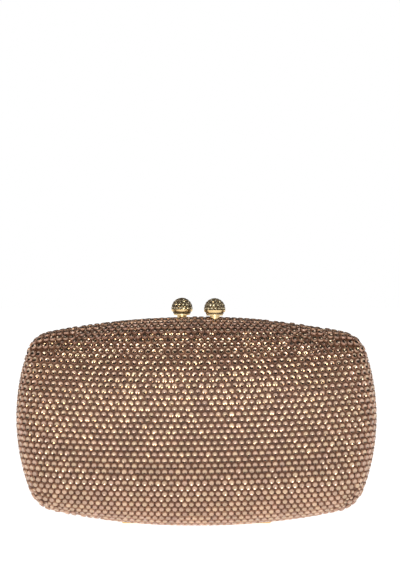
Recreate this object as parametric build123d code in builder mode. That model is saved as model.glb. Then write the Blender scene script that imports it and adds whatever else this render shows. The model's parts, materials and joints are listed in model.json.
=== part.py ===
"""Hard-case evening bag: two domed crystal-covered halves on a bottom hinge, held by a two-knob clasp.

Millimetres, +Z up. The bag stands on its base with its front towards -Y; the origin is the middle
of its footprint. Y = 0 is the seam where the two metal frames meet.
"""

import os

from build123d import *

os.makedirs("parts", exist_ok=True)

FRONT = -1  # the front half lies on the -Y side of the seam
BACK = 1

# Outer form of the case
case_width = 184.0
case_top = 107.0
widest_height = 56.0  # height at which the case is widest and deepest
half_depth = 24.0
base_cut = 0.8  # how much of the bowed bottom is cut off flat, so that the bag stands
side_power = 5.0  # higher is squarer in section
top_power = 2.6
bottom_power = 2.9
depth_shares = (0.0, 0.3, 0.52, 0.7, 0.84, 0.93, 0.98, 0.995)  # where the form's sections lie
top_corner_radius = 12.0
bottom_corner_radius = 15.0
corner_growth = 10.0  # how much rounder the corners are at the middle of the face
corner_limit = 0.42  # largest corner radius, as a share of a section's height
top_corner_out = 0.915  # the corners before rounding, as shares of the half width and height
top_corner_up = 0.814
bottom_corner_out = 0.889
bottom_corner_down = 0.835

# Layers, as insets from the outer form
crystal_depth = 1.5
shell_inner = 2.7
lining_inner = 3.4
skirt_inner = 3.6
flange_outer = 1.1
flange_inner = 4.2
seam_gap = 0.05  # each frame's distance from Y = 0
flange_depth = 1.2
skirt_depth = 6.0

# Hinge along the bottom
hinge_length = 76.0
hinge_height = 1.15
barrel_radius = 1.1
knuckle_count = 7
knuckle_gap = 0.15
pin_radius = 0.5
pin_clearance = 0.04
pin_head_radius = 0.8
pin_head_length = 0.4
notch_half_width = 2.1
notch_end_gap = 0.7
leaf_low = 5.4
leaf_thickness = 0.8
leaf_edge = 0.3  # the leaf's inner edge, from Y = 0
web_far = 2.0
leaf_rivet_places = (-32.0, -11.0, 11.0, 32.0)
leaf_rivet_y = 4.0
rivet_radius = 0.8
rivet_head_radius = 1.4
rivet_head_height = 0.5
rivet_rounding = 0.35
rivet_depth = 0.9

# Clasp on the top edge
knob_y = 4.0
front_knob_x = 9.3
back_knob_x = -7.5
knob_height = 110.7
knob_radius = 5.6
knob_core_radius = 4.7
knob_band = (-1.7, -0.5)  # polished band round the ball, from its middle
knob_crystals_low = 107.9
knob_collar_radius = 4.3
knob_foot_height = 107.3
post_radius = 1.1
post_clearance = 0.3
pad_half_length = 20.0
front_pad_low = 102.2
back_pad_low = 101.8
knob_travel = 3.0
slider_top = 101.6
slider_thickness = 0.9
slider_left = -12.0
slider_right = 5.0
slider_near = 1.5
slider_far = 6.6
hook_left = -3.0
hook_right = -1.0
hook_reach = -4.6
nose_left = -4.5
nose_y = -3.5
nose_low = 99.4
nose_top = 101.1
screw_radius = 0.6
screw_depth = 0.8
screw_head_radius = 1.1
screw_head_height = 0.5
knob_screw_length = 3.0
knob_screw_head_radius = 1.3
knob_screw_head_height = 1.1
guide_left = -14.0
guide_right = 12.6
guide_near = 1.2
guide_far = 6.9
guide_low = 98.6
guide_wall = 0.6
guide_foot = 4.4
foot_thickness = 0.7
rib_top = 100.6
rib_places = (2.2, 6.1)
rib_thickness = 0.6
guide_screws = ((-16.2, 4.0), (14.8, 4.0))
spring_radius = 0.8
spring_wire = 0.2
spring_pitch = 1.1
spring_height = 100.6
striker_left = -13.0
striker_right = -4.8
striker_low = 101.3
striker_near = -2.2
tooth_left = -9.0
tooth_thickness = 1.0
tooth_low = 99.3
striker_screws = ((-11.5, -4.7), (-7.5, -4.7))
nut_radius = 2.2
nut_height = 1.5

# Inside
pocket_half_width = 46.0
pocket_low = 22.0
pocket_high = 74.0
pocket_thickness = 1.1
lug_height = 85.0
lug_inner_x = 78.0
lug_outer_x = 88.0
lug_y = 4.0
lug_width = 3.6
lug_thickness = 1.4
lug_hole_x = 80.6
lug_hole_radius = 1.3

big = 200.0  # longer than the bag, for cutting tools


def rounded_share(depth_share, power):
    """How far a form reaches at a share of its depth, as a share of its reach at the seam."""
    return (1 - depth_share**power) ** (1 / power)


def form_section(inset, side, depth_share):
    """One section of the case's form: four bowed sides with rounded corners."""
    reach = (case_width / 2 - inset) * rounded_share(depth_share, side_power)
    up = (case_top - widest_height - inset) * rounded_share(depth_share, top_power)
    down = (widest_height + base_cut - inset) * rounded_share(depth_share, bottom_power)
    growth = corner_growth * depth_share**3
    largest = corner_limit * (up + down)
    top_corner = (top_corner_out * reach, widest_height + top_corner_up * up)
    bottom_corner = (bottom_corner_out * reach, widest_height - bottom_corner_down * down)
    with BuildSketch(Plane.XZ.offset(-side * (half_depth - inset) * depth_share)) as section:
        with BuildLine():
            ThreePointArc(
                (-bottom_corner[0], bottom_corner[1]), (0, widest_height - down), bottom_corner
            )
            ThreePointArc(bottom_corner, (reach, widest_height), top_corner)
            ThreePointArc(top_corner, (0, widest_height + up), (-top_corner[0], top_corner[1]))
            ThreePointArc(
                (-top_corner[0], top_corner[1]),
                (-reach, widest_height),
                (-bottom_corner[0], bottom_corner[1]),
            )
        make_face()
        fillet(
            section.vertices().filter_by(lambda v: v.Y > widest_height),
            min(top_corner_radius + growth, largest),
        )
        fillet(
            section.vertices().filter_by(
                lambda v: v.Y < widest_height and abs(v.Y - bottom_corner[1]) < 0.01
            ),
            min(bottom_corner_radius + growth, largest),
        )
    return section.sketch.face()


def case_form(inset, side, mode=Mode.ADD):
    """The solid form of one half of the case, inset evenly from its outer surface."""
    loft([form_section(inset, side, share) for share in depth_shares], mode=mode)


def block(x_range, y_range, z_range, mode=Mode.ADD):
    """A box between three pairs of limits."""
    size = [abs(b - a) for a, b in (x_range, y_range, z_range)]
    middle = [(a + b) / 2 for a, b in (x_range, y_range, z_range)]
    with Locations(tuple(middle)):
        Box(*size, mode=mode)


def keep_depths(side, near, far):
    """Keeps what lies between two distances from the seam."""
    block((-big, big), (side * near, side * far), (-big, big), mode=Mode.INTERSECT)


def cut_hinge_notch(side):
    """Clears the room for the hinge barrel at the bottom of the seam."""
    half = hinge_length / 2 + notch_end_gap
    block(
        (-half, half), (0, side * notch_half_width), (-big, leaf_low), mode=Mode.SUBTRACT
    )


def cut_knob_way(side):
    """The hole for the front knob's post, or the slot that the back knob's post slides in."""
    if side == FRONT:
        post_low = case_top - skirt_depth
        upright(front_knob_x, side * knob_y, post_low, big, post_radius, Mode.SUBTRACT)
        return
    slot_radius = post_radius + post_clearance
    middle = back_knob_x + knob_travel / 2
    with BuildSketch(Plane.XY.offset(case_top - skirt_depth)) as slot:
        with Locations((middle, side * knob_y)):
            SlotCenterToCenter(knob_travel, 2 * slot_radius)
    extrude(slot.sketch, amount=2 * skirt_depth, mode=Mode.SUBTRACT)


def upright(x, y, low, high, radius, mode=Mode.ADD):
    """An upright round bar or hole between two heights."""
    with Locations((x, y, (low + high) / 2)):
        Cylinder(radius, high - low, mode=mode)


def finish_piece(builder, name):
    """Labels a finished piece and writes it."""
    builder.part.label = name
    export_step(builder.part, f"parts/{name}.step")


# Crystal covering, shell, frame and lining of both halves
bores = {}
for side, half in ((FRONT, "front"), (BACK, "back")):
    with BuildPart() as crystals:
        case_form(0, side)
        case_form(crystal_depth, side, mode=Mode.SUBTRACT)
        keep_depths(side, flange_depth, big)
        block((-big, big), (-big, big), (-big, 0), mode=Mode.SUBTRACT)
        cut_hinge_notch(side)
        cut_knob_way(side)
    finish_piece(crystals, f"{half}_crystals")

    with BuildPart() as shell:
        case_form(crystal_depth, side)
        case_form(shell_inner, side, mode=Mode.SUBTRACT)
        keep_depths(side, flange_depth, big)
        cut_hinge_notch(side)
        cut_knob_way(side)
    finish_piece(shell, f"{half}_shell")

    # The frame's skirt is thicker at the hinge seat and at the clasp pad, so its bore is
    # the inner form less those two blocks.
    pad_low = front_pad_low if side == FRONT else back_pad_low
    with BuildPart() as bore:
        case_form(skirt_inner, side)
        block(
            (-hinge_length / 2, hinge_length / 2),
            (0, side * skirt_depth),
            (-big, leaf_low),
            mode=Mode.SUBTRACT,
        )
        block(
            (-pad_half_length, pad_half_length),
            (0, side * skirt_depth),
            (pad_low, big),
            mode=Mode.SUBTRACT,
        )

    with BuildPart() as skirt:
        case_form(shell_inner, side)
        add(bore.part, mode=Mode.SUBTRACT)
        keep_depths(side, flange_depth, skirt_depth)

    with BuildPart() as frame:
        case_form(flange_outer, side)
        case_form(flange_inner, side, mode=Mode.SUBTRACT)
        keep_depths(side, seam_gap, flange_depth)
        block((-big, big), (-big, big), (-big, 0), mode=Mode.SUBTRACT)
        add(skirt.part)
        cut_hinge_notch(side)
        cut_knob_way(side)
        for x in leaf_rivet_places:
            y = side * leaf_rivet_y
            upright(x, y, leaf_low - rivet_depth, leaf_low, rivet_radius, Mode.SUBTRACT)
        for x, y in striker_screws if side == FRONT else guide_screws:
            upright(x, y, pad_low, pad_low + screw_depth, screw_radius, Mode.SUBTRACT)
    bores[side] = bore.part
    finish_piece(frame, f"{half}_frame")

    with BuildPart() as lining:
        case_form(shell_inner, side)
        case_form(lining_inner, side, mode=Mode.SUBTRACT)
        keep_depths(side, skirt_depth, big)
    finish_piece(lining, f"{half}_lining")


# Hinge: two leaves on the frames' seats, their knuckles round one pin
knuckle_pitch = hinge_length / knuckle_count
for side, half in ((FRONT, "front"), (BACK, "back")):
    first = 1 if side == FRONT else 0
    pin_hole_radius = pin_radius + pin_clearance if side == FRONT else pin_radius
    leaf_top = leaf_low + leaf_thickness
    with BuildPart() as leaf:
        block(
            (-hinge_length / 2, hinge_length / 2),
            (side * leaf_edge, side * skirt_depth),
            (leaf_low, leaf_top),
        )
        for x in leaf_rivet_places:
            upright(x, side * leaf_rivet_y, leaf_low, leaf_top, rivet_radius, Mode.SUBTRACT)
        for knuckle in range(first, knuckle_count, 2):
            left = -hinge_length / 2 + knuckle * knuckle_pitch + knuckle_gap / 2
            right = left + knuckle_pitch - knuckle_gap
            block(
                (left, right), (side * leaf_edge, side * web_far), (hinge_height, leaf_top)
            )
            with Locations(((left + right) / 2, 0, hinge_height)):
                Cylinder(barrel_radius, right - left, rotation=(0, 90, 0))
        with Locations((0, 0, hinge_height)):
            Cylinder(
                pin_hole_radius, 2 * hinge_length, rotation=(0, 90, 0), mode=Mode.SUBTRACT
            )
    finish_piece(leaf, f"hinge_{half}_leaf")

    with BuildPart() as leaf_rivets:
        for x in leaf_rivet_places:
            y = side * leaf_rivet_y
            upright(x, y, leaf_low - rivet_depth, leaf_top, rivet_radius)
            upright(x, y, leaf_top, leaf_top + rivet_head_height, rivet_head_radius)
        heads = leaf_rivets.faces().sort_by(Axis.Z)[-len(leaf_rivet_places) :]
        fillet(heads.edges(), rivet_rounding)
    finish_piece(leaf_rivets, f"hinge_{half}_rivets")

with BuildPart() as hinge_pin:
    pin_length = hinge_length - knuckle_gap
    with Locations((0, 0, hinge_height)):
        Cylinder(pin_radius, pin_length, rotation=(0, 90, 0))
    for end in (-1, 1):
        with Locations((end * (pin_length + pin_head_length) / 2, 0, hinge_height)):
            Cylinder(pin_head_radius, pin_head_length, rotation=(0, 90, 0))
finish_piece(hinge_pin, "hinge_pin")


# Clasp knobs: a brass ball on a collar and post, with crystals above and below its polished band
post_lows = {FRONT: front_pad_low - nut_height - rivet_head_height, BACK: slider_top}
knob_xs = {FRONT: front_knob_x, BACK: back_knob_x}
for side, half in ((FRONT, "front"), (BACK, "back")):
    x = knob_xs[side]
    y = side * knob_y
    with BuildPart() as band:
        with Locations((x, y, knob_height)):
            Sphere(knob_radius)
        low, high = knob_band
        block(
            (-big, big), (-big, big), (knob_height + low, knob_height + high), mode=Mode.INTERSECT
        )

    with BuildPart() as knob:
        with Locations((x, y, knob_height)):
            Sphere(knob_core_radius)
        block((-big, big), (-big, big), (0, knob_crystals_low), mode=Mode.SUBTRACT)
        add(band.part)
        upright(x, y, knob_foot_height, knob_crystals_low, knob_collar_radius)
        upright(x, y, post_lows[side], knob_height, post_radius)
        if side == BACK:
            upright(x, y, slider_top, slider_top + knob_screw_length, screw_radius, Mode.SUBTRACT)
    finish_piece(knob, f"{half}_knob")

    with BuildPart() as knob_crystals:
        with Locations((x, y, knob_height)):
            Sphere(knob_radius)
        with Locations((x, y, knob_height)):
            Sphere(knob_core_radius, mode=Mode.SUBTRACT)
        block((-big, big), (-big, big), (0, knob_crystals_low), mode=Mode.SUBTRACT)
        add(band.part, mode=Mode.SUBTRACT)
    finish_piece(knob_crystals, f"{half}_knob_crystals")

with BuildPart() as front_knob_nut:
    with BuildSketch(Plane.XY.offset(front_pad_low - nut_height)):
        with Locations((front_knob_x, -knob_y)):
            RegularPolygon(nut_radius, 6)
            Circle(post_radius, mode=Mode.SUBTRACT)
    extrude(amount=nut_height)
finish_piece(front_knob_nut, "front_knob_nut")

with BuildPart() as back_knob_screw:
    slider_low = slider_top - slider_thickness
    head_low = slider_low - knob_screw_head_height
    upright(back_knob_x, knob_y, head_low, slider_low, knob_screw_head_radius)
    upright(back_knob_x, knob_y, slider_low, slider_top + knob_screw_length, screw_radius)
finish_piece(back_knob_screw, "back_knob_screw")


# Clasp works: a sprung slider with a hook, in a guide under the back frame
with BuildPart() as slider:
    block((slider_left, slider_right), (slider_near, slider_far), (slider_low, slider_top))
    block((hook_left, hook_right), (hook_reach, slider_near), (slider_low, slider_top))
    block((hook_left, hook_right), (hook_reach, nose_y), (nose_low, slider_low))
    block((nose_left, hook_left), (hook_reach, nose_y), (nose_low, nose_top))
    upright(back_knob_x, knob_y, slider_low, slider_top, screw_radius, Mode.SUBTRACT)
finish_piece(slider, "clasp_slider")

with BuildPart() as guide:
    guide_top = back_pad_low
    across = (guide_near, guide_far)
    foot_across = (flange_depth, skirt_depth)
    block((guide_left, guide_right), across, (guide_low, guide_low + guide_wall))
    block((guide_left, guide_left + guide_wall), across, (guide_low, guide_top))
    block((guide_right - guide_wall, guide_right), across, (guide_low, guide_top))
    foot_low = guide_top - foot_thickness
    block((guide_left - guide_foot, guide_left), foot_across, (foot_low, guide_top))
    block((guide_right, guide_right + guide_foot), foot_across, (foot_low, guide_top))
    for y in rib_places:
        rib_across = (y - rib_thickness / 2, y + rib_thickness / 2)
        block((slider_left, slider_right), rib_across, (guide_low, rib_top))
    for x, y in guide_screws:
        upright(x, y, foot_low, guide_top, screw_radius, Mode.SUBTRACT)
finish_piece(guide, "clasp_guide")

with BuildPart() as guide_fixings:
    for x, y in guide_screws:
        upright(x, y, foot_low - screw_head_height, foot_low, screw_head_radius)
        upright(x, y, foot_low, guide_top + screw_depth, screw_radius)
finish_piece(guide_fixings, "clasp_guide_screws")

with BuildPart() as spring:
    spring_left = slider_right + spring_wire
    spring_length = guide_right - guide_wall - spring_wire - spring_left
    spring_plane = Plane((spring_left, knob_y, spring_height), x_dir=(0, 1, 0), z_dir=(1, 0, 0))
    coil = spring_plane * Helix(spring_pitch, spring_length, spring_radius)
    with BuildSketch(Plane(coil @ 0, z_dir=coil % 0)) as wire_section:
        Circle(spring_wire)
    sweep(wire_section.sketch, path=coil, is_frenet=True)
finish_piece(spring, "clasp_spring")


# Striker on the front frame, which the hook catches behind
with BuildPart() as striker:
    striker_top = front_pad_low
    block((striker_left, striker_right), (striker_near, -skirt_depth), (striker_low, striker_top))
    block(
        (tooth_left, striker_right),
        (striker_near, striker_near - tooth_thickness),
        (tooth_low, striker_low),
    )
    for x, y in striker_screws:
        upright(x, y, striker_low, striker_top, screw_radius, Mode.SUBTRACT)
finish_piece(striker, "clasp_striker")

with BuildPart() as striker_fixings:
    for x, y in striker_screws:
        upright(x, y, striker_low - screw_head_height, striker_low, screw_head_radius)
        upright(x, y, striker_low, striker_top + screw_depth, screw_radius)
finish_piece(striker_fixings, "clasp_striker_screws")


# Slip pocket glued to the back lining, and lugs for a drop-in chain inside the back frame
with BuildPart() as pocket:
    case_form(lining_inner, BACK)
    case_form(lining_inner + pocket_thickness, BACK, mode=Mode.SUBTRACT)
    block(
        (-pocket_half_width, pocket_half_width),
        (half_depth / 2, big),
        (pocket_low, pocket_high),
        mode=Mode.INTERSECT,
    )
finish_piece(pocket, "slip_pocket")

with BuildPart() as chain_lugs:
    for end in (-1, 1):
        block(
            (end * lug_inner_x, end * lug_outer_x),
            (lug_y - lug_width / 2, lug_y + lug_width / 2),
            (lug_height - lug_thickness / 2, lug_height + lug_thickness / 2),
        )
        upright(end * lug_hole_x, lug_y, 0, case_top, lug_hole_radius, Mode.SUBTRACT)
    add(bores[BACK], mode=Mode.INTERSECT)
finish_piece(chain_lugs, "chain_lugs")
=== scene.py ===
import json
import math
import random

import bmesh
import bpy
import numpy as np
from mathutils import Matrix, Vector
from mathutils.bvhtree import BVHTree


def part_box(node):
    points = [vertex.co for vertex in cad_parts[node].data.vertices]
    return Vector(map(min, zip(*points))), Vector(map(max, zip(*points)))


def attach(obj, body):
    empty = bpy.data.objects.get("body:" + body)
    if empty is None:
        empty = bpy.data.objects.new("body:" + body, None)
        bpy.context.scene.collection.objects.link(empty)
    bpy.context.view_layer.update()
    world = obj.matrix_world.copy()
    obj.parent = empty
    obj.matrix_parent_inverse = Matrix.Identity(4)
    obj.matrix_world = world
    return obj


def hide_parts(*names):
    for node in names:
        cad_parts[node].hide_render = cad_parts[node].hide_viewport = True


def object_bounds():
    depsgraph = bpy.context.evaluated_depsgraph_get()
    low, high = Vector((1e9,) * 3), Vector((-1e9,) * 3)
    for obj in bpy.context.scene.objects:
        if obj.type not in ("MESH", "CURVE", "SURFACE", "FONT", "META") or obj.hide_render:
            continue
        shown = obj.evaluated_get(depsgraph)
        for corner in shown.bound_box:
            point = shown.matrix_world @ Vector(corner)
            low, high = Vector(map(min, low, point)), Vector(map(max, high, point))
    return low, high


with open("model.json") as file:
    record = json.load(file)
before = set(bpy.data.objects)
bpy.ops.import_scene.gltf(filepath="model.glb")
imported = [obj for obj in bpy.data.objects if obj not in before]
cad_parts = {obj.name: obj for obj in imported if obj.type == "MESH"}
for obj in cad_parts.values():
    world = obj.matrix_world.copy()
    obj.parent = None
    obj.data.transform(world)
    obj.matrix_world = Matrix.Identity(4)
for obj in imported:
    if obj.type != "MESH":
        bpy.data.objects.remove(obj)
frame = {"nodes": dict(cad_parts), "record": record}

MM = 0.001
nodes = frame["nodes"]
cad_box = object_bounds()

# Camera: level with the bag's middle and a little above it, square on to the front.
# It aims above the bag, so that the bag stands in the lower part of a tall picture.
bag_low = Vector(cad_box[0])
case_low, case_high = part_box("front_crystals")
case_middle = (case_low.z + case_high.z) / 2
camera_distance = 0.75
camera_rise = math.radians(6.5)
picture_width = 0.2
aim_above = 0.0683
aim_side = 0.0018

camera_data = bpy.data.cameras.new("camera")
camera = bpy.data.objects.new("camera", camera_data)
bpy.context.scene.collection.objects.link(camera)
camera.location = (
    aim_side,
    case_low.y - camera_distance * math.cos(camera_rise),
    case_middle + camera_distance * math.sin(camera_rise),
)
aim = Vector((aim_side, case_low.y, case_middle + aim_above))
camera.rotation_euler = (aim - camera.location).to_track_quat("-Z", "Y").to_euler()
camera_data.sensor_fit = "HORIZONTAL"
camera_data.sensor_width = 36
camera_data.lens = camera_data.sensor_width * camera_distance / picture_width
camera_data.clip_start = 0.01
bpy.context.scene.camera = camera
bpy.context.scene.view_settings.view_transform = "Standard"


# Colours are written as sRGB hex and turned to the linear values that shaders take.
def linear(hex_colour):
    """The linear RGBA of an sRGB hex colour."""
    shares = [int(hex_colour[i : i + 2], 16) / 255 for i in (0, 2, 4)]
    return [s / 12.92 if s <= 0.04045 else ((s + 0.055) / 1.055) ** 2.4 for s in shares] + [1.0]


def add_node(tree, kind, settings=None, links=None):
    """Adds a shader node, sets its properties or sockets, and links sockets into it."""
    node = tree.nodes.new(kind)
    for name, value in (settings or {}).items():
        if isinstance(name, int) or name in node.inputs:
            node.inputs[name].default_value = value
        else:
            setattr(node, name, value)
    for name, source in (links or {}).items():
        tree.links.new(source, node.inputs[name])
    return node


def new_material(name):
    """An empty node material, its tree and its output node."""
    material = bpy.data.materials.new(name)
    material.use_nodes = True
    material.node_tree.nodes.clear()
    output = material.node_tree.nodes.new("ShaderNodeOutputMaterial")
    return material, material.node_tree, output


# Studio: a white sweep lit from below, a bright low horizon, a dark ceiling, and four softboxes.
# Cut crystal shows what is round it, so the dark ceiling is what gives it contrast.
world = bpy.data.worlds.new("studio")
bpy.context.scene.world = world
world.use_nodes = True
world.node_tree.nodes.clear()
direction = add_node(world.node_tree, "ShaderNodeTexCoord")
height = add_node(
    world.node_tree, "ShaderNodeSeparateXYZ", links={"Vector": direction.outputs["Generated"]}
)
sky = add_node(world.node_tree, "ShaderNodeValToRGB", links={"Fac": height.outputs["Z"]})
sky_stops = ((0.0, 1.0), (0.17, 1.0), (0.28, 0.05), (0.85, 0.05), (1.0, 0.3))
ramp = sky.color_ramp
while len(ramp.elements) < len(sky_stops):
    ramp.elements.new(0.5)
for element, (place, light) in zip(ramp.elements, sky_stops):
    element.position = place
    element.color = (light, light, light, 1)
background = add_node(
    world.node_tree, "ShaderNodeBackground", {"Strength": 1.0}, {"Color": sky.outputs["Color"]}
)
add_node(
    world.node_tree, "ShaderNodeOutputWorld", links={"Surface": background.outputs["Background"]}
)


def put_in_scene(name, mesh):
    """A new object at the origin that shows a finished mesh or curve."""
    piece = bpy.data.objects.new(name, mesh)
    bpy.context.scene.collection.objects.link(piece)
    return piece


floor_size = 6.0
sweep = bmesh.new()
bmesh.ops.create_grid(sweep, x_segments=1, y_segments=1, size=floor_size / 2)
floor_mesh = bpy.data.meshes.new("studio_floor")
sweep.to_mesh(floor_mesh)
sweep.free()
floor = put_in_scene("studio_floor", floor_mesh)
floor.location.z = bag_low.z
paper, tree, output = new_material("lit_white_paper")
matt = add_node(
    tree,
    "ShaderNodeBsdfPrincipled",
    {
        "Base Color": linear("e6e6e6"),
        "Roughness": 0.9,
        "Emission Color": linear("ffffff"),
        "Emission Strength": 0.98,
    },
)
tree.links.new(matt.outputs["BSDF"], output.inputs["Surface"])
floor_mesh.materials.append(paper)


def softbox(name, azimuth, elevation, distance, width, height, radiance, colour="ffffff"):
    """A soft area light that faces the bag's middle."""
    light = bpy.data.lights.new(name, "AREA")
    light.color = linear(colour)[:3]
    light.shape = "RECTANGLE"
    light.size = width
    light.size_y = height
    light.energy = radiance * math.pi * width * height
    lamp = bpy.data.objects.new(name, light)
    turn = math.radians(azimuth)
    rise = math.radians(elevation)
    toward = Vector(
        (math.sin(turn) * math.cos(rise), -math.cos(turn) * math.cos(rise), math.sin(rise))
    )
    middle = Vector((0, 0, case_middle))
    lamp.location = middle + toward * distance
    lamp.rotation_euler = toward.to_track_quat("Z", "Y").to_euler()
    lamp.visible_camera = False
    bpy.context.scene.collection.objects.link(lamp)


softbox("front_softbox", 0, 6, 1.6, 0.7, 0.35, 5.0)
softbox("left_softbox", -34, 30, 1.3, 0.28, 0.4, 9, "ffeccf")
softbox("right_softbox", 34, 30, 1.3, 0.28, 0.4, 7, "f6f7e6")
softbox("top_softbox", 0, 84, 1.2, 0.6, 0.3, 2)


# Shells: pressed brass under the crystals, coated with champagne-brown lacquer and resin.
# Between the crystals it shows as dark warm brown.
resin, tree, output = new_material("brown_lacquered_brass")
grain = add_node(
    tree,
    "ShaderNodeTexNoise",
    {"Scale": 900.0, "Detail": 3.0},
    {"Vector": add_node(tree, "ShaderNodeTexCoord").outputs["Object"]},
)
tones = add_node(tree, "ShaderNodeValToRGB", links={"Fac": grain.outputs["Fac"]})
tones.color_ramp.elements[0].position = 0.35
tones.color_ramp.elements[0].color = linear("4a2f22")
tones.color_ramp.elements[1].position = 0.7
tones.color_ramp.elements[1].color = linear("84593f")
coat = add_node(
    tree,
    "ShaderNodeBsdfPrincipled",
    {"Metallic": 0.2, "Roughness": 0.45, "IOR": 1.5},
    {"Base Color": tones.outputs["Color"]},
)
tree.links.new(coat.outputs["BSDF"], output.inputs["Surface"])
for half in ("front", "back"):
    shell = nodes[f"{half}_shell"]
    shell.data.materials.clear()
    shell.data.materials.append(resin)


# Crystals: flat-backed foiled glass stones, set by hand in rows that stagger like bricks.
# Rows run level across the face, turn with it over the edges, and end at the metal frame.
stone_radius = 1.62 * MM
stone_pitch = 3.35 * MM
row_pitch = 2.86 * MM
stone_height = 1.25 * MM
closest = 2.95 * MM
stone_sides = 8
cup_share = 0.72
# Rings of the cut, from the back up: share of the radius, share of the height.
stone_rings = ((0.97, 0.0), (1.0, 0.3), (cup_share, 0.96), (0.36, 0.8), (0.0, 0.74))


def cut_stone():
    """One stone of radius 1 and height 1, facing +Z: a crown round a foiled cup."""
    stone = bmesh.new()
    bmesh.ops.create_circle(stone, segments=stone_sides, radius=stone_rings[0][0])
    ring = list(stone.edges)
    for (inner, low), (outer, high) in zip(stone_rings, stone_rings[1:]):
        grown = bmesh.ops.extrude_edge_only(stone, edges=ring)["geom"]
        ring = [part for part in grown if isinstance(part, bmesh.types.BMEdge)]
        verts = [part for part in grown if isinstance(part, bmesh.types.BMVert)]
        size = max(outer / inner, 0.001)
        bmesh.ops.scale(stone, vec=(size, size, 1), verts=verts)
        bmesh.ops.translate(stone, vec=(0, 0, high - low), verts=verts)
    bmesh.ops.remove_doubles(stone, verts=stone.verts, dist=0.01)
    bmesh.ops.edgeloop_fill(stone, edges=[e for e in stone.edges if e.is_boundary])
    bmesh.ops.recalc_face_normals(stone, faces=stone.faces)
    for face in stone.faces:
        middle = face.calc_center_median()
        in_cup = middle.z > 0.5 and middle.xy.length < cup_share * 0.9
        face.material_index = 1 if in_cup else 0
    mesh = bpy.data.meshes.new("stone")
    stone.to_mesh(mesh)
    stone.free()
    return mesh


class Skin:
    """The surface that one half's crystals are set on, felt by rays from inside the half."""

    def __init__(self, half, side):
        depsgraph = bpy.context.evaluated_depsgraph_get()
        self.tree = BVHTree.FromObject(nodes[f"{half}_crystals"], depsgraph)
        self.side = side

    def hit(self, origin, toward):
        """The first point of the surface from a point inside, with its outward normal."""
        place, normal, _, _ = self.tree.ray_cast(origin, toward)
        if place is None:
            return None
        return place, -normal if normal.dot(toward) < 0 else normal

    def smooth_normal(self, place, normal):
        """The surface's normal, evened out over a stone's width."""
        across = normal.orthogonal().normalized()
        along = normal.cross(across)
        total = normal.copy()
        for turn in range(6):
            angle = turn * math.pi / 3
            offset = (across * math.cos(angle) + along * math.sin(angle)) * stone_radius
            found = self.hit(place + offset - normal * 2.5 * MM, normal)
            if found and (found[0] - place).length < 3 * stone_radius:
                total += found[1]
        return total.normalized()


spine_inset = 20 * MM
step = 0.5 * MM
smile_radius = 1.4
row_tilt = 0.012
flange_depth = 1.2 * MM
post_radius = 1.1 * MM
ray_steps = 500
edge_room = 0.95  # how near a stone's middle comes to the frame, in stone radii
smallest_stone = 0.95 * MM
filler_edge = 0.9 * MM
filler_overlap = 1.02
set_lean = 0.03  # how unevenly the stones are seated


def profile_rays(side):
    """Rays from the half's spine to its skin in the middle section, from bottom to top."""
    low = case_low.z + spine_inset
    high = case_high.z - spine_inset
    rays = []
    for i in range(ray_steps):
        angle = math.pi / 2 * (1 - i / ray_steps)
        rays.append((low, Vector((0, side * math.cos(angle), -math.sin(angle)))))
    for i in range(ray_steps + 1):
        rays.append((low + (high - low) * i / ray_steps, Vector((0, side, 0))))
    for i in range(1, ray_steps + 1):
        angle = math.pi / 2 * i / ray_steps
        rays.append((high, Vector((0, side * math.cos(angle), math.sin(angle)))))
    return rays


def row_rays(skin, spacing):
    """The rays of rows that stand a given distance apart along the middle section."""
    found = []
    length = 0
    last = None
    for level, toward in profile_rays(skin.side):
        hit = skin.hit(Vector((0, 0, level)), toward)
        if hit is None or abs(hit[0].y) < flange_depth + 0.9 * stone_radius:
            continue
        if last is not None:
            length += (hit[0] - last).length
        last = hit[0]
        found.append((length, level, toward))
    count = int(length / spacing)
    start = (length - count * spacing) / 2
    rows = []
    for i in range(count + 1):
        rows.append(min(found, key=lambda ray: abs(ray[0] - start - i * spacing))[1:])
    return rows


def row_line(skin, level, toward, way):
    """Points along one row from the middle to one side, over the edge and back to the frame."""
    line = []
    x = 0.0
    while x < case_high.x:
        rise = x * x / (2 * smile_radius) + way * x * row_tilt
        origin = Vector((way * x, 0, level + rise))
        hit = skin.hit(origin, toward)
        if hit is None:
            break
        if line and (hit[0] - line[-1][0]).length > 2.2 * step:
            break
        line.append(hit)
        x += step
    if not line:
        return line
    end = line[-1][0]
    origin = Vector((end.x - way * 4 * MM, 0, level + rise))
    depth = (end - Vector((end.x, 0, level + rise))).length
    while depth > 0:
        depth -= step
        hit = skin.hit(origin + toward * depth, Vector((way, 0, 0)))
        if hit is None or (hit[0] - line[-1][0]).length > 4 * step:
            break
        line.append(hit)
    return line


def lay_row(skin, level, toward, start):
    """Places on one row, a stone's pitch apart, starting a given distance from its middle."""
    places = []
    for way in (1, -1):
        line = row_line(skin, level, toward, way)
        wanted = start if way > 0 else stone_pitch - start
        length = 0
        for (a, _), (b, normal) in zip(line, line[1:]):
            stretch = (b - a).length
            if length + stretch >= wanted:
                places.append((a.lerp(b, (wanted - length) / stretch), normal))
                wanted += stone_pitch
            length += stretch
    return places


slide = next(j for j in frame["record"]["behaviour"]["joints"] if j["name"] == "clasp_knob")
knob_travel = slide["range_m"][1]


knob_posts = []
for half, travel in (("front", 0), ("back", knob_travel)):
    low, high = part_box(f"{half}_knob_crystals")
    knob_posts.append(((low + high) / 2, travel))


def on_post(place):
    """Whether a stone would stand in a knob's post, or in the slot that it slides in."""
    if place.z < case_middle:
        return False
    for middle, travel in knob_posts:
        near_x = min(max(place.x, middle.x), middle.x + travel)
        if math.hypot(place.x - near_x, place.y - middle.y) < post_radius + stone_radius:
            return True
    return False


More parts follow.
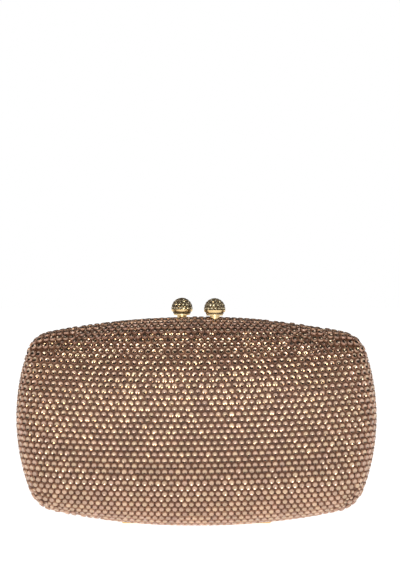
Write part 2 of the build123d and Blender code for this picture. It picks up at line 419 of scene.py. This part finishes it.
def set_stones(half, side, seed):
    """The transforms that set one half's stones on its skin: rows first, then small fillers."""
    skin = Skin(half, side)
    laid = np.zeros((0, 3))
    stones = []
    rows = row_rays(skin, row_pitch)
    middle = len(rows) // 2
    for i in sorted(range(len(rows)), key=lambda i: abs(i - middle)):
        level, toward = rows[i]
        start = stone_pitch * (0.25 if i % 2 else 0.75)
        for place, normal in lay_row(skin, level, toward, start):
            if abs(place.y) < flange_depth + stone_radius * edge_room or on_post(place):
                continue
            if len(laid) and np.sum((laid - place) ** 2, axis=1).min() < closest**2:
                continue
            laid = np.vstack([laid, place])
            stones.append((place, normal, stone_radius))
    # Smaller stones fill what the rows leave open at the corners and ends
    radii = [s[2] for s in stones]
    for level, toward in row_rays(skin, row_pitch / 4):
        for way in (1, -1):
            for place, normal in row_line(skin, level, toward, way):
                if abs(place.y) < flange_depth + filler_edge or on_post(place):
                    continue
                gaps = np.sqrt(np.sum((laid - place) ** 2, axis=1)) - np.array(radii)
                room = gaps.min() * filler_overlap
                if room < smallest_stone:
                    continue
                radius = min(room, stone_radius)
                laid = np.vstack([laid, place])
                radii.append(radius)
                stones.append((place, normal, radius))
    chance = random.Random(seed)
    placed = []
    for place, normal, radius in stones:
        normal = skin.smooth_normal(place, normal)
        lean = Vector([chance.gauss(0, set_lean) for _ in range(3)])
        facing = (normal + lean).normalized()
        height = stone_height * radius / stone_radius
        if facing.z < -0.2:
            height = min(height, (place.z - case_low.z) / -facing.z)
        placed.append(stone_place(place, facing, radius, height, chance))
    return placed


def stone_place(place, facing, radius, height, chance):
    """The transform that sets the cut stone at a place, facing a way, turned at random."""
    turn = facing.to_track_quat("Z", "X").to_matrix().to_4x4()
    spin = Matrix.Rotation(chance.uniform(0, math.tau), 4, "Z")
    return Matrix.Translation(place) @ turn @ spin @ Matrix.Diagonal((radius, radius, height, 1))


def stones_piece(name, placed, template, materials, seed):
    """One mesh of many stones, with a random tint and brightness for each."""
    many = bmesh.new()
    for matrix in placed:
        stone = template.copy()
        stone.transform(matrix)
        many.from_mesh(stone)
        bpy.data.meshes.remove(stone)
    mesh = bpy.data.meshes.new(name)
    for vert in many.verts:
        vert.co.z = max(vert.co.z, case_low.z)
    many.to_mesh(mesh)
    many.free()
    chance = np.random.default_rng(seed)
    corners = len(template.vertices)
    for attribute in ("tint", "shade"):
        values = np.repeat(chance.random(len(placed)), corners).astype(np.float32)
        mesh.attributes.new(attribute, "FLOAT", "POINT").data.foreach_set("value", values)
    for material in materials:
        mesh.materials.append(material)
    return put_in_scene(name, mesh)


def foiled_crystal(name, first, second, metallic, roughness, coat):
    """Cut lead crystal over foil: its own tint and brightness for each stone."""
    material, tree, output = new_material(name)
    tint = add_node(tree, "ShaderNodeAttribute", {"attribute_name": "tint"})
    shade = add_node(tree, "ShaderNodeAttribute", {"attribute_name": "shade"})
    tones = add_node(tree, "ShaderNodeValToRGB", links={"Fac": tint.outputs["Fac"]})
    tones.color_ramp.elements[0].color = linear(first)
    tones.color_ramp.elements[1].color = linear(second)
    bright = add_node(
        tree, "ShaderNodeMapRange", {"To Min": 0.8, "To Max": 1.15}, {"Value": shade.outputs["Fac"]}
    )
    cast = add_node(
        tree,
        "ShaderNodeHueSaturation",
        links={"Value": bright.outputs["Result"], "Color": tones.outputs["Color"]},
    )
    glass = add_node(
        tree,
        "ShaderNodeBsdfPrincipled",
        {
            "Metallic": metallic,
            "Roughness": roughness,
            "IOR": 1.56,
            "Coat Weight": coat,
            "Coat Roughness": 0.03,
        },
        {"Base Color": cast.outputs["Color"]},
    )
    tree.links.new(glass.outputs["BSDF"], output.inputs["Surface"])
    return material


# The crown scatters light through the glass and looks satin; the foil under the table mirrors.
crown = foiled_crystal("crystal_crown", "ab8472", "b8937a", 0.5, 0.42, 0.6)
foil = foiled_crystal("crystal_over_foil", "b79885", "c2a88c", 1.0, 0.12, 0.8)

stone_template = cut_stone()
for half, side, seed in (("front", -1, 11), ("back", 1, 12)):
    placed = set_stones(half, side, seed)
    print(half, "stones", len(placed))
    stones = stones_piece(f"{half}_stones", placed, stone_template, (crown, foil), seed)
    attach(stones, f"{half}_half")
    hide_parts(f"{half}_crystals")


# Frames, hinge, clasp works and lugs: brass, polished and plated pale gold.
# Polishing leaves fine rubbed lines, and handling leaves slightly duller patches.
plate, tree, output = new_material("pale_gold_plated_brass")
place = add_node(tree, "ShaderNodeTexCoord").outputs["Object"]
rub_scale = 1 / (2.5 * MM)
rubbed = add_node(tree, "ShaderNodeTexNoise", {"Scale": rub_scale, "Detail": 4.0}, {"Vector": place})
dull = add_node(
    tree, "ShaderNodeMapRange", {"To Min": 0.1, "To Max": 0.34}, {"Value": rubbed.outputs["Fac"]}
)
tones = add_node(tree, "ShaderNodeValToRGB", links={"Fac": rubbed.outputs["Fac"]})
tones.color_ramp.elements[0].color = linear("cfae78")
tones.color_ramp.elements[1].color = linear("ecd5a4")
stretched = add_node(tree, "ShaderNodeMapping", {"Scale": (1, 12, 12)}, {"Vector": place})
line_scale = 1 / (4 * MM)
lines = add_node(
    tree, "ShaderNodeTexNoise", {"Scale": line_scale, "Detail": 2.0}, {"Vector": stretched.outputs[0]}
)
scratch = add_node(
    tree,
    "ShaderNodeBump",
    {"Strength": 0.25, "Distance": 0.02 * MM},
    {"Height": lines.outputs["Fac"]},
)
gilt = add_node(
    tree,
    "ShaderNodeBsdfPrincipled",
    {"Metallic": 1.0},
    {
        "Base Color": tones.outputs["Color"],
        "Roughness": dull.outputs["Result"],
        "Normal": scratch.outputs["Normal"],
    },
)
tree.links.new(gilt.outputs["BSDF"], output.inputs["Surface"])
gilt_nodes = [
    part["node"]
    for part in frame["record"]["subparts"]
    if part["material_slot"] in ("gilt_frame", "gilt_fittings")
]
for name in gilt_nodes:
    nodes[name].data.materials.clear()
    nodes[name].data.materials.append(plate)


# Clasp spring: bright drawn steel wire, with the drawing die's faint rings of tone.
wire, tree, output = new_material("drawn_spring_steel")
place = add_node(tree, "ShaderNodeTexCoord").outputs["Object"]
drawn = add_node(
    tree, "ShaderNodeTexNoise", {"Scale": 1 / (1.5 * MM), "Detail": 2.0}, {"Vector": place}
)
tones = add_node(tree, "ShaderNodeValToRGB", links={"Fac": drawn.outputs["Fac"]})
tones.color_ramp.elements[0].color = linear("8f9093")
tones.color_ramp.elements[1].color = linear("c6c7c9")
steel = add_node(
    tree,
    "ShaderNodeBsdfPrincipled",
    {"Metallic": 1.0, "Roughness": 0.28},
    {"Base Color": tones.outputs["Color"]},
)
tree.links.new(steel.outputs["BSDF"], output.inputs["Surface"])
nodes["clasp_spring"].data.materials.clear()
nodes["clasp_spring"].data.materials.append(wire)


# Knobs: two brass balls set with small stones over the dome, a polished band left bare,
# and one more row of stones below it. The stones are greyer than those on the case, and a
# plain sleeve under each ball fills the gap in the crystals round its post.
knob_stone_radius = 0.9 * MM
knob_stone_height = 0.75 * MM
small_stone_radius = 0.5 * MM
band_high = -0.5 * MM
small_row = -2.25 * MM
core_radius = 4.7 * MM
collar_height = 0.6 * MM
sleeve_radius = 2.5 * MM
sleeve_length = 1.6 * MM
knob_ring_closeness = 1.86  # rings of stones nest a little, so they stand under two radii apart
knob_band_room = 0.8 * knob_stone_radius
knob_lean = 0.05
knob_crown = foiled_crystal("knob_crystal_crown", "7d6a50", "8f8062", 0.6, 0.35, 0.5)
knob_foil = foiled_crystal("knob_crystal_over_foil", "b5a583", "cfc3a4", 1.0, 0.1, 0.4)
for half, body, seed in (("front", "front_half", 21), ("back", "clasp_slide", 22)):
    low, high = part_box(f"{half}_knob_crystals")
    ball_radius = (high.x - low.x) / 2
    middle = Vector(((low.x + high.x) / 2, (low.y + high.y) / 2, high.z - ball_radius))
    chance = random.Random(seed)
    step_angle = knob_ring_closeness * knob_stone_radius / ball_radius
    last_angle = math.acos((band_high + knob_band_room) / core_radius)
    ring_count = int(last_angle / step_angle)
    rings = [(last_angle * i / ring_count, knob_stone_radius) for i in range(ring_count + 1)]
    rings.append((math.acos(small_row / core_radius), small_stone_radius))
    placed = []
    for fall, radius in rings:
        round_length = math.tau * ball_radius * math.sin(fall)
        count = max(1, int(round_length / (2 * radius)))
        first = chance.uniform(0, math.tau)
        for i in range(count):
            angle = first + math.tau * i / count
            facing = Vector(
                (
                    math.sin(fall) * math.cos(angle),
                    math.sin(fall) * math.sin(angle),
                    math.cos(fall),
                )
            )
            lean = Vector([chance.gauss(0, knob_lean) for _ in range(3)])
            height = knob_stone_height * radius / knob_stone_radius
            spot = middle + facing * core_radius
            placed.append(
                stone_place(spot, (facing + lean).normalized(), radius, height, chance)
            )
    sleeve = bmesh.new()
    bmesh.ops.create_cone(
        sleeve,
        cap_ends=True,
        segments=40,
        radius1=sleeve_radius,
        radius2=sleeve_radius,
        depth=sleeve_length,
        matrix=Matrix.Translation((middle.x, middle.y, low.z - collar_height - sleeve_length / 2)),
    )
    rims = [e for e in sleeve.edges if len({f.normal.z > 0.5 for f in e.link_faces}) == 2]
    bmesh.ops.bevel(
        sleeve, geom=rims, offset=0.2 * MM, affect="EDGES", segments=2, profile=0.5, material=-1
    )
    mesh = bpy.data.meshes.new(f"{half}_knob_sleeve")
    sleeve.to_mesh(mesh)
    sleeve.free()
    mesh.materials.append(plate)
    sleeve = put_in_scene(f"{half}_knob_sleeve", mesh)
    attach(sleeve, body)
    stones = stones_piece(
        f"{half}_knob_stones", placed, stone_template, (knob_crown, knob_foil), seed
    )
    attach(stones, body)
    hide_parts(f"{half}_knob_crystals")


# Linings: thin champagne kid leather with a metallic finish, moulded into each shell.
# The finish sits on a fine pebbled grain, and dulls in the grain's valleys.
kid, tree, output = new_material("metallic_kid_leather")
place = add_node(tree, "ShaderNodeTexCoord").outputs["Object"]
grain_scale = 1 / (0.9 * MM)
pebbles = add_node(tree, "ShaderNodeTexVoronoi", {"Scale": grain_scale}, {"Vector": place})
pores = add_node(
    tree, "ShaderNodeTexNoise", {"Scale": 3 * grain_scale, "Detail": 3.0}, {"Vector": place}
)
hide = add_node(tree, "ShaderNodeTexNoise", {"Scale": 1 / (30 * MM), "Detail": 3.0}, {"Vector": place})
tones = add_node(tree, "ShaderNodeValToRGB", links={"Fac": hide.outputs["Fac"]})
tones.color_ramp.elements[0].position = 0.3
tones.color_ramp.elements[0].color = linear("a98863")
tones.color_ramp.elements[1].position = 0.7
tones.color_ramp.elements[1].color = linear("cbac80")
relief = add_node(
    tree,
    "ShaderNodeBump",
    {"Strength": 0.6, "Distance": 0.12 * MM},
    {
        "Height": pebbles.outputs["Distance"],
        "Normal": add_node(
            tree,
            "ShaderNodeBump",
            {"Strength": 0.3, "Distance": 0.04 * MM},
            {"Height": pores.outputs["Fac"]},
        ).outputs["Normal"],
    },
)
worn = add_node(
    tree, "ShaderNodeMapRange", {"To Min": 0.34, "To Max": 0.55}, {"Value": pebbles.outputs["Distance"]}
)
leather = add_node(
    tree,
    "ShaderNodeBsdfPrincipled",
    {"Metallic": 0.45, "IOR": 1.5, "Sheen Weight": 0.15},
    {
        "Base Color": tones.outputs["Color"],
        "Roughness": worn.outputs["Result"],
        "Normal": relief.outputs["Normal"],
    },
)
tree.links.new(leather.outputs["BSDF"], output.inputs["Surface"])
for half in ("front", "back"):
    lining = nodes[f"{half}_lining"]
    lining.data.materials.clear()
    lining.data.materials.append(kid)


# Piping: a thin cord wrapped in the same leather, glued round each lining's mouth
# to hide where the leather ends at the metal frame.
piping_radius = 0.55 * MM
piping_points = 240
for half, side in (("front", -1), ("back", 1)):
    wall = BVHTree.FromObject(nodes[f"{half}_lining"], bpy.context.evaluated_depsgraph_get())
    low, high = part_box(f"{half}_lining")
    mouth = min(low.y, high.y, key=abs) + side * piping_radius
    spots = []
    for i in range(piping_points):
        angle = math.tau * i / piping_points
        toward = Vector((math.cos(angle), 0, math.sin(angle)))
        hit = wall.ray_cast(Vector((0, mouth, case_middle)), toward)[0]
        if hit is not None:
            spots.append(hit - toward * piping_radius)
    route = bpy.data.curves.new(f"{half}_piping_route", "CURVE")
    route.dimensions = "3D"
    route.bevel_depth = piping_radius
    route.bevel_resolution = 3
    spline = route.splines.new("POLY")
    spline.points.add(len(spots) - 1)
    for point, spot in zip(spline.points, spots):
        point.co = (*spot, 1)
    spline.use_cyclic_u = True
    round_mouth = put_in_scene(f"{half}_piping_route", route)
    bpy.context.view_layer.update()
    mesh = bpy.data.meshes.new_from_object(
        round_mouth.evaluated_get(bpy.context.evaluated_depsgraph_get())
    )
    bpy.data.objects.remove(round_mouth)
    mesh.materials.clear()
    mesh.materials.append(kid)
    mesh.shade_smooth()
    piping = put_in_scene(f"{half}_piping", mesh)
    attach(piping, f"{half}_half")


# Slip pocket: a flat panel of the lining leather, stitched to the back lining on three sides,
# with its top edge folded over into a hem.
pocket_low, pocket_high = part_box("slip_pocket")
wall = BVHTree.FromObject(nodes["back_lining"], bpy.context.evaluated_depsgraph_get())
panel_thickness = 0.5 * MM
panel_off = 0.6 * MM  # the panel's distance from the lining
hem_off = 1.0 * MM
panel_columns = 46
panel_row = 2 * MM
slack_depth = 0.12 * MM
hem_height = 7 * MM
pocket_width = pocket_high.x - pocket_low.x


def on_lining(x, z, off):
    """The point that stands a given distance in front of the back lining."""
    hit = wall.ray_cast(Vector((x, 8 * MM, z)), Vector((0, 1, 0)))[0]
    return hit - Vector((0, off, 0))


def leather_panel(name, bottom, top, off, thickness):
    """A leather panel as wide as the pocket, that follows the back lining."""
    panel = bmesh.new()
    levels = max(3, int((top - bottom) / panel_row))
    bmesh.ops.create_grid(panel, x_segments=panel_columns, y_segments=levels, size=1)
    for vert in panel.verts:
        x = vert.co.x * pocket_width / 2
        z = (bottom + top) / 2 + vert.co.y * (top - bottom) / 2
        slack = slack_depth * math.sin(x / (9 * MM)) * math.sin(z / (13 * MM))
        vert.co = on_lining(x, z, off + slack)
    bmesh.ops.recalc_face_normals(panel, faces=panel.faces)
    bmesh.ops.solidify(panel, geom=panel.faces[:], thickness=thickness)
    bmesh.ops.recalc_face_normals(panel, faces=panel.faces)
    mesh = bpy.data.meshes.new(name)
    panel.to_mesh(mesh)
    panel.free()
    mesh.materials.append(kid)
    piece = put_in_scene(name, mesh)
    rounding = piece.modifiers.new("edge", "BEVEL")
    rounding.width = 0.15 * MM
    rounding.segments = 2
    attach(piece, "back_half")
    return piece


panel = leather_panel("pocket_panel", pocket_low.z, pocket_high.z, panel_off, panel_thickness)
hem = leather_panel(
    "pocket_hem", pocket_high.z - hem_height, pocket_high.z, hem_off, panel_thickness * 0.8
)
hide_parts("slip_pocket")

# Thread: waxed gold thread in short even stitches, pulled down into the leather.
thread, tree, output = new_material("waxed_gold_thread")
place = add_node(tree, "ShaderNodeTexCoord").outputs["Object"]
ply = add_node(tree, "ShaderNodeTexNoise", {"Scale": 1 / (0.4 * MM)}, {"Vector": place})
tones = add_node(tree, "ShaderNodeValToRGB", links={"Fac": ply.outputs["Fac"]})
tones.color_ramp.elements[0].color = linear("9c7a4a")
tones.color_ramp.elements[1].color = linear("d9bb86")
waxed = add_node(
    tree,
    "ShaderNodeBsdfPrincipled",
    {"Roughness": 0.5, "IOR": 1.5, "Sheen Weight": 0.3},
    {"Base Color": tones.outputs["Color"]},
)
tree.links.new(waxed.outputs["BSDF"], output.inputs["Surface"])
stitch_pitch = 3 * MM
stitch_length = 2.1 * MM
thread_radius = 0.22 * MM
seam_inset = 2 * MM
hem_thread = 1.2 * MM  # how far the thread lies from the lining, at the hem and elsewhere
panel_thread = 0.8 * MM
sewing = bmesh.new()


def sew(start, end, off):
    """A straight line of stitches across the pocket, between two points in X and Z."""
    count = int((end - start).length / stitch_pitch)
    for i in range(count):
        spot = start.lerp(end, (i + 0.5) / count)
        lie = on_lining(spot.x, spot.y, off)
        ahead = (end - start).normalized()
        turn = Vector((ahead.x, 0, ahead.y)).to_track_quat("X", "Y").to_matrix().to_4x4()
        size = Matrix.Diagonal((stitch_length / 2, thread_radius, thread_radius, 1))
        bmesh.ops.create_uvsphere(
            sewing,
            u_segments=8,
            v_segments=6,
            radius=1,
            matrix=Matrix.Translation(lie) @ turn @ size,
        )


left = pocket_low.x + seam_inset
right = pocket_high.x - seam_inset
bottom = pocket_low.z + seam_inset
hem_seam = pocket_high.z - hem_height + seam_inset / 2
sew(Vector((left, hem_seam)), Vector((right, hem_seam)), hem_thread)
sew(Vector((left, bottom)), Vector((right, bottom)), panel_thread)
for x in (left, right):
    sew(Vector((x, bottom)), Vector((x, hem_seam)), panel_thread)
mesh = bpy.data.meshes.new("pocket_stitches")
sewing.to_mesh(mesh)
sewing.free()
mesh.materials.append(thread)
mesh.shade_smooth()
stitches = put_in_scene("pocket_stitches", mesh)
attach(stitches, "back_half")
